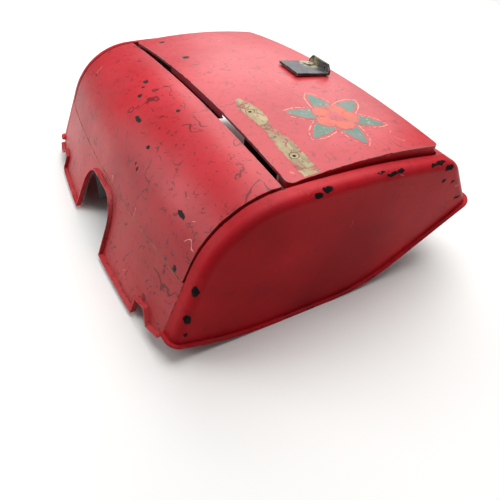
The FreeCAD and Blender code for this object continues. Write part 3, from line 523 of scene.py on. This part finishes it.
SOFTBOXES = [                # name, place, side, watts
    ("overhead_softbox", (-0.15, 0.3, 1.5), 1.4, 26.0),
    ("back_softbox", (-1.1, 0.9, 1.0), 1.3, 15.0),
    ("side_softbox", (-0.9, -1.3, 0.8), 1.0, 13.0),
]
SENSOR = 36.0
LENS = 31.9
CAMERA_X = 0.3898
CAMERA_OUT = 0.1704          # beyond the door's hinge-side edge
CAMERA_Z = 0.3073
CAMERA_AHEAD = Vector((-0.6305, 0.4073, -0.6608))
CAMERA_ROLL = math.radians(5.4)


class GLOVEBOX_OT_materials(bpy.types.Operator):
    """Make every finish and give each carried-over part its own"""

    bl_idname = "glovebox.materials"
    bl_label = "Finishes"

    def execute(self, context):
        made = SHOWN["materials"]
        made["shell"] = crazed_enamel("crazed_red_enamel", PANEL_CHIPS, chalk=0.5, pale_edge=0.35)
        made["wall"] = crazed_enamel("dusty_red_enamel", [], chalk=0.3, dust=0.4, specular=0.2)
        made["cheek"] = crazed_enamel("crazed_red_enamel_cheek", CHEEK_CHIPS, chalk=0.35, crazing=0.3,
                                      specular=0.08)
        made["door"] = crazed_enamel("crazed_red_enamel_door", [], chalk=0.7, wear=0.6, crazing=0.6,
                                     pale_edge=0.7)
        # Inside pieces: red oxide overspray, darkened to near black red as painted shade of the box's dark
        # inside.
        made["inside"] = primer("red_oxide_overspray_painted_shade", "#2A0A0B", "#451413", rust=0.4)
        made["shroud"] = primer("grey_zinc_primer", "#5F6163", "#787A7B", rust=0.15)
        # Hinge arms, leaves and pins: oily steel, darkened to near black as painted shade of the gap under
        # the door.
        made["hinge"] = primer("oily_hinge_steel_painted_gap_shade", "#15100E", "#2A1D17", rust=0.6, rough=0.8)
        made["bare"] = dull_steel("dull_mild_steel", "#6F6B66", "#938E86", 0.5)
        made["rubber"] = worn_rubber("dusty_moulded_rubber")
        rivets = [(x, RIVET_BACK, 139) for x in RIVETS_ACROSS]
        made["rivet"] = rivet_metal("filler_smeared_rivet", [(seat, (1.7, 1.7, 9)) for seat in rivets],
                                    [(seat, (3.8, 3.8, 9)) for seat in rivets])
        made["filler"] = old_filler("rubbed_body_filler")
        low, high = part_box("latch_spindle")
        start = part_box("door_skin")[0].y
        spindle = ((low.x + high.x) / 2 / MM, (high.y - start) / MM - SPINDLE_HEAD, high.z / MM)
        made["latch"] = worn_latch_paint("grey_paint_over_cream", spindle)
        groups = {
            "shell": ["curved_panel", "upper_wall"],
            "wall": ["lower_wall"],
            "cheek": ["right_cheek", "left_cheek"],
            "door": ["door_skin"],
            "shroud": ["spine_shroud"],
            "hinge": ["right_hinge_arm", "left_hinge_arm", "right_hinge_leaf", "left_hinge_leaf",
                      "right_hinge_pin", "left_hinge_pin"],
            "rubber": ["bump_stops"],
            "rivet": ["hinge_leaf_rivets"],
            "inside": ["right_joint_strip", "left_joint_strip", "crease_strip", "right_aperture_rail",
                       "left_aperture_rail", "latch_rail", "lower_mounting_tabs",
                       "upper_mounting_tabs", "door_stiffener"],
            "latch": ["latch_spindle", "latch_plate"],
            "bare": ["strike_plate", "hinge_arm_rivets", "latch_washer", "latch_cam", "latch_nut"],
        }
        for finish, names in groups.items():
            for name in names:
                mesh = SHOWN["nodes"][name].data
                mesh.materials.clear()
                mesh.materials.append(made[finish])
        return {"FINISHED"}


class GLOVEBOX_OT_transfer(bpy.types.Operator):
    """Lay a plain rosette of leaves and petals on the door as its transfer"""

    bl_idname = "glovebox.transfer"
    bl_label = "Transfer"

    def execute(self, context):
        look = context.scene.glove_box_transfer
        surface = surface_of("door_skin")
        red = SHOWN["materials"]["door"]
        pale = transfer_ink("transfer_outline_ink", tuple(look.outline), linear("#D98A78"),
                            linear("#C23A42"), 0.9)
        green = transfer_ink("transfer_leaf_ink", tuple(look.leaf), linear("#5E6F64"),
                             linear("#9FA68C"), 0.35)
        orange = transfer_ink("transfer_petal_ink", tuple(look.petal), linear("#B9442A"),
                              linear("#9C5A3A"), 0.5)
        heart = transfer_ink("transfer_heart_ink", tuple(look.heart), linear("#B8303C"),
                             linear("#C65A3A"), 0.3)
        layers = [("transfer_outline", look.gap + look.line, 0.10, pale),
                  ("transfer_border", look.gap, 0.16, red), ("transfer_leaf", 0.0, 0.22, green)]
        for name, grow, lift, material in layers:
            self.lay(name, self.leaf(grow), surface, lift, material)
        petals = (PETAL_REACH * MM, PETAL_WIDTH * MM)
        self.lay("transfer_flower_border", self.flower(*petals, 0.8 * MM), surface, 0.27, red)
        self.lay("transfer_flower", self.flower(*petals, 0.0), surface, 0.32, orange)
        self.lay("transfer_flower_heart", self.flower(HEART_REACH * MM, HEART_WIDTH * MM, 0.0), surface,
                 0.37, heart)
        return {"FINISHED"}

    def leaf(self, grow):
        bm = bmesh.new()
        root = door_point(*ROSETTE)
        bmesh.ops.create_circle(bm, segments=24, radius=HUB_RADIUS * MM + grow, cap_ends=True,
                                cap_tris=True)
        bmesh.ops.translate(bm, verts=bm.verts, vec=root)
        self.ring(bm, root, LEAVES, LEAF_REACH * MM, LEAF_WIDTH * MM, grow, 0.85, 0.8)
        return bm

    def flower(self, reach, width, grow):
        bm = bmesh.new()
        self.ring(bm, door_point(*ROSETTE), PETALS, reach, width, grow, 1.35, 0.6)
        return bm

    def ring(self, bm, root, count, reach, width, grow, fullness, blunt):
        """Equal leaves or petals, evenly spaced round one middle."""
        for index in range(count):
            angle = 2 * math.pi * index / count
            tip = root + Vector((math.cos(angle), math.sin(angle), 0)) * reach
            petal_mesh(bm, root, tip, width, grow, fullness, blunt)

    def lay(self, name, bm, surface, lift, material):
        lay_sheet(bm, surface, lift * MM)
        face_up(bm, Vector((0, 0, -1)))
        finished(bm, name, material, "door")


class GLOVEBOX_OT_filler(bpy.types.Operator):
    """Lay the rubbed filler along the hinge rivets and the thin line of filler in the crease"""

    bl_idname = "glovebox.filler"
    bl_label = "Filler"

    def execute(self, context):
        made = SHOWN["materials"]
        self.strip("door_filler", made["filler"])
        self.crease(made["filler"])
        return {"FINISHED"}

    def strip(self, name, material):
        """Ragged band beside the hinge, narrow at its start and waisted between the two rivets."""
        bm = bmesh.new()
        made = bmesh.ops.create_grid(bm, x_segments=124, y_segments=18, size=0.5)["verts"]
        for vertex in made:
            u = vertex.co.x + 0.5
            v = 2 * vertex.co.y
            start = min(1.0, u / 0.14) ** 0.7
            waist = 1 - 0.42 * math.exp(-((u - 0.47) / 0.13) ** 2)
            half = FILLER_HALF_WIDTH * start * waist + 1.6 * noise.noise(Vector((u * 22, v, 3.0)))
            centre = FILLER_BACK + 1.5 * noise.noise(Vector((u * 5, 0.0, 9.0)))
            vertex.co = door_point(FILLER_START + FILLER_LENGTH * u, centre + v * half)
        for x in RIVETS_ACROSS:
            self.open_round(bm, door_point(x, RIVET_BACK), RIVET_OPENING * MM)
        lay_sheet(bm, surface_of("door_skin"), 0.12 * MM)
        face_up(bm, Vector((0, 0, -1)))
        finished(bm, name, material, "door")

    def open_round(self, bm, middle, radius):
        """Leave a round rivet head showing through the band."""
        inside = []
        for vertex in bm.verts:
            offset = Vector((vertex.co.x - middle.x, vertex.co.y - middle.y, 0))
            if offset.length < 0.75 * radius:
                inside.append(vertex)
            elif offset.length < 1.2 * radius:
                vertex.co = middle + offset.normalized() * radius
        bmesh.ops.delete(bm, geom=inside, context="VERTS")

    def crease(self, material):
        """Hair-thin line of filler that has cracked out of the crease."""
        panel_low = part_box("curved_panel")[0]
        wall_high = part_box("lower_wall")[1]
        middle = (panel_low.z + wall_high.z) / 2
        bm = bmesh.new()
        made = bmesh.ops.create_grid(bm, x_segments=160, y_segments=2, size=0.5)["verts"]
        for vertex in made:
            u = vertex.co.x
            half = (0.55 + 0.35 * noise.noise(Vector((u * 60, 0.0, 0.0)))) * MM
            vertex.co = Vector((2 * u * abs(panel_low.x) * 0.995, 0, middle + 2 * vertex.co.y * half))
        lay_sheet(bm, surface_of("curved_panel", "lower_wall", "crease_strip"), 0.12 * MM,
                  Vector((0, 1, 0)))
        face_up(bm, Vector((0, 1, 0)))
        finished(bm, "crease_filler", material, "box")


class GLOVEBOX_OT_latch(bpy.types.Operator):
    """Replace the plain latch plate with one whose edges are worn round"""

    bl_idname = "glovebox.latch"
    bl_label = "Latch plate"

    def execute(self, context):
        source = SHOWN["nodes"]["latch_plate"]
        bm = bmesh.new()
        bm.from_mesh(source.data)
        bmesh.ops.remove_doubles(bm, verts=bm.verts, dist=0.01 * MM)
        bmesh.ops.dissolve_limit(bm, angle_limit=math.radians(2), verts=bm.verts, edges=bm.edges)
        sharp = [edge for edge in bm.edges if edge.calc_face_angle(0) > LATCH_SHARP]
        bmesh.ops.bevel(bm, geom=sharp, offset=LATCH_WEAR, segments=3, profile=0.5, affect="EDGES",
                        material=-1, clamp_overlap=True)
        plate = finished(bm, "worn_latch_plate", SHOWN["materials"]["latch"], "latch",
                         smooth=False)
        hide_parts("latch_plate")
        return {"FINISHED"}


class GLOVEBOX_OT_stage(bpy.types.Operator):
    """Set the floor, the soft lights and the camera"""

    bl_idname = "glovebox.stage"
    bl_label = "Stage"

    def execute(self, context):
        look = context.scene.glove_box_stage
        self.floor(look)
        world = bpy.data.worlds.new("studio_room")
        world.use_nodes = True
        background = world.node_tree.nodes["Background"]
        background.inputs["Color"].default_value = linear("#FFFFFF")
        background.inputs["Strength"].default_value = ROOM_LIGHT
        context.scene.world = world
        for softbox in SOFTBOXES:
            self.light(*softbox)
        self.camera(context)
        context.scene.view_settings.view_transform = "Standard"
        return {"FINISHED"}

    def floor(self, look):
        bm = bmesh.new()
        bmesh.ops.create_grid(bm, x_segments=1, y_segments=1, size=look.floor_size / 2)
        bmesh.ops.translate(bm, verts=bm.verts, vec=(0, 0, CAD_BOX[0][2]))
        mesh = bpy.data.meshes.new("floor")
        bm.to_mesh(mesh)
        bm.free()
        floor = bpy.data.objects.new("floor", mesh)
        bpy.context.scene.collection.objects.link(floor)
        material, tree, _ = new_material("matt_studio_floor")
        finish_material(tree, Base_Color=tuple(look.floor), Roughness=0.85)
        mesh.materials.append(material)

    def light(self, name, place, size, power):
        lamp = bpy.data.lights.new(name, "AREA")
        lamp.size = size
        lamp.energy = power
        light = bpy.data.objects.new(name, lamp)
        light.location = place
        light.rotation_euler = (-Vector(place)).to_track_quat("-Z", "Y").to_euler()
        bpy.context.scene.collection.objects.link(light)

    def camera(self, context):
        lens = bpy.data.cameras.new("camera")
        lens.sensor_width = SENSOR
        lens.lens = LENS
        camera = bpy.data.objects.new("camera", lens)
        camera.location = (CAMERA_X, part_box("door_skin")[0].y - CAMERA_OUT, CAMERA_Z)
        roll = Quaternion((0, 0, 1), CAMERA_ROLL)
        camera.rotation_euler = (CAMERA_AHEAD.to_track_quat("-Z", "Y") @ roll).to_euler()
        context.scene.collection.objects.link(camera)
        context.scene.camera = camera


class GLOVEBOX_PT_panel(bpy.types.Panel):
    """Lists the steps that finish the glove box"""

    bl_idname = "GLOVEBOX_PT_panel"
    bl_label = "Glove box"
    bl_space_type = "VIEW_3D"
    bl_region_type = "UI"
    bl_category = "Glove box"

    def draw(self, context):
        for step in STEPS:
            self.layout.operator(step.bl_idname)


GROUPS = {
    "glove_box_enamel": GloveBoxEnamel,
    "glove_box_transfer": GloveBoxTransfer,
    "glove_box_stage": GloveBoxStage,
}
STEPS = [GLOVEBOX_OT_materials, GLOVEBOX_OT_transfer, GLOVEBOX_OT_filler, GLOVEBOX_OT_latch,
         GLOVEBOX_OT_stage]
CLASSES = [*GROUPS.values(), *STEPS, GLOVEBOX_PT_panel]


def register():
    for item in CLASSES:
        bpy.utils.register_class(item)
    for name, group in GROUPS.items():
        setattr(bpy.types.Scene, name, PointerProperty(type=group))


def unregister():
    for name in GROUPS:
        delattr(bpy.types.Scene, name)
    for item in reversed(CLASSES):
        bpy.utils.unregister_class(item)


def main():
    register()
    for step in STEPS:
        family, name = step.bl_idname.split(".")
        getattr(getattr(bpy.ops, family), name)()


if __name__ == "__main__":
    main()
